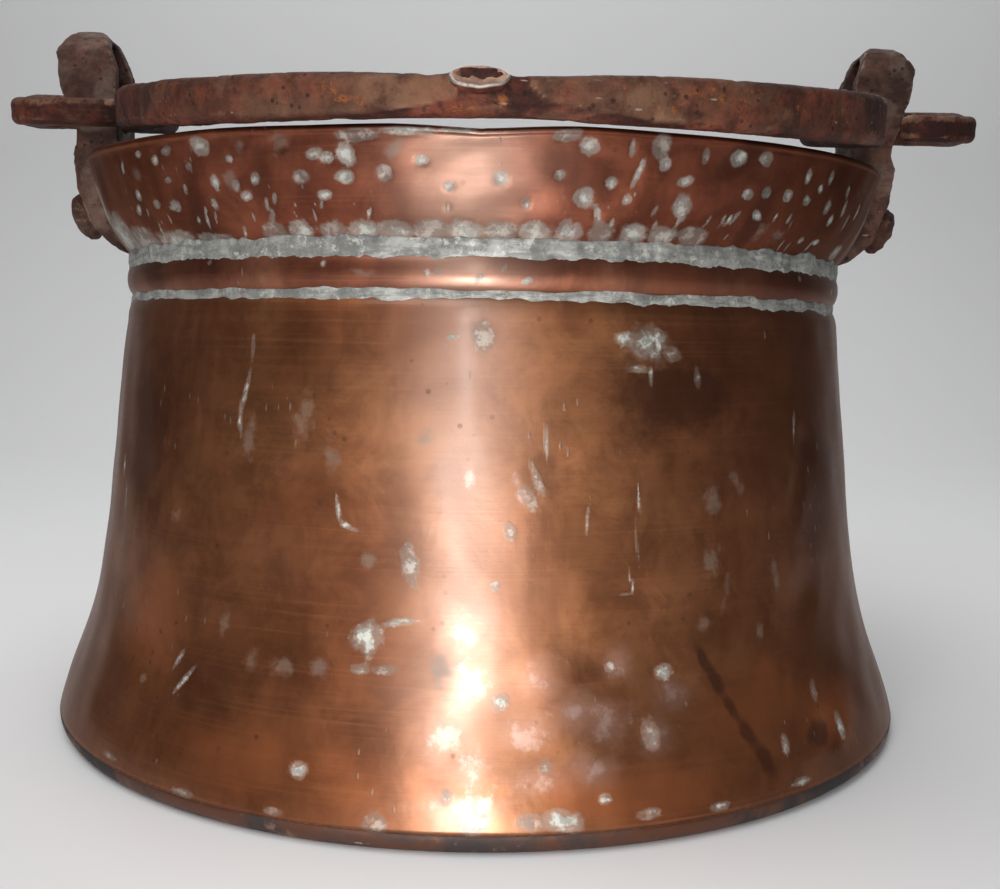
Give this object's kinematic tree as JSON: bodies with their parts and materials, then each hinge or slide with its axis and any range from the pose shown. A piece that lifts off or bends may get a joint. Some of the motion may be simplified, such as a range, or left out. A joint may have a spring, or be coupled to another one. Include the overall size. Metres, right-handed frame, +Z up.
{
  "type": "copper hanging kettle",
  "caption": "Belled copper kettle with a grooved neck and flared collar, riveted iron ears and a hooked iron bail that swings over the mouth.",
  "frame": {"origin": "centre of the flat underside of the pot, on the surface that it stands on", "axes": "+Z up, +X towards the right ear, +Y towards the back; the bail at rest lies over the front, at -Y"},
  "size_m": [0.3265, 0.2901, 0.231],
  "materials": {
    "copper_body": "tarnished copper sheet, brown-orange with worn bright patches",
    "copper_neck": "tarnished copper bead, rubbed shiny on its crest",
    "copper_collar": "dark red-brown copper with grey hammer dents",
    "tin_solder": "dull grey tin, uneven",
    "foot_braze": "dark crusted braze",
    "forged_iron": "forged iron, dark red-brown rust with worn grey flats",
    "rivet_iron": "forged iron, pitted rust",
    "bail_iron": "forged iron, red-brown rust, rubbed flats"
  },
  "bodies": {
    "kettle": {"base_pan": "copper_body", "base_seam": "foot_braze", "body_wall": "copper_body", "lower_seam": "tin_solder", "neck_ring": "copper_neck", "upper_seam": "tin_solder", "collar": "copper_collar", "left_ear": "forged_iron", "right_ear": "forged_iron", "left_rivet": "rivet_iron", "right_rivet": "rivet_iron", "left_rove": "rivet_iron", "right_rove": "rivet_iron"},
    "bail": {"bail": "bail_iron"}
  },
  "joints": [
    {"name": "bail_swing", "type": "hinge", "parent": "kettle", "child": "bail", "pos_m": [0, 0, 0.2035], "axis": [-1, 0, 0], "range_deg": [0, 195]}
  ]
}
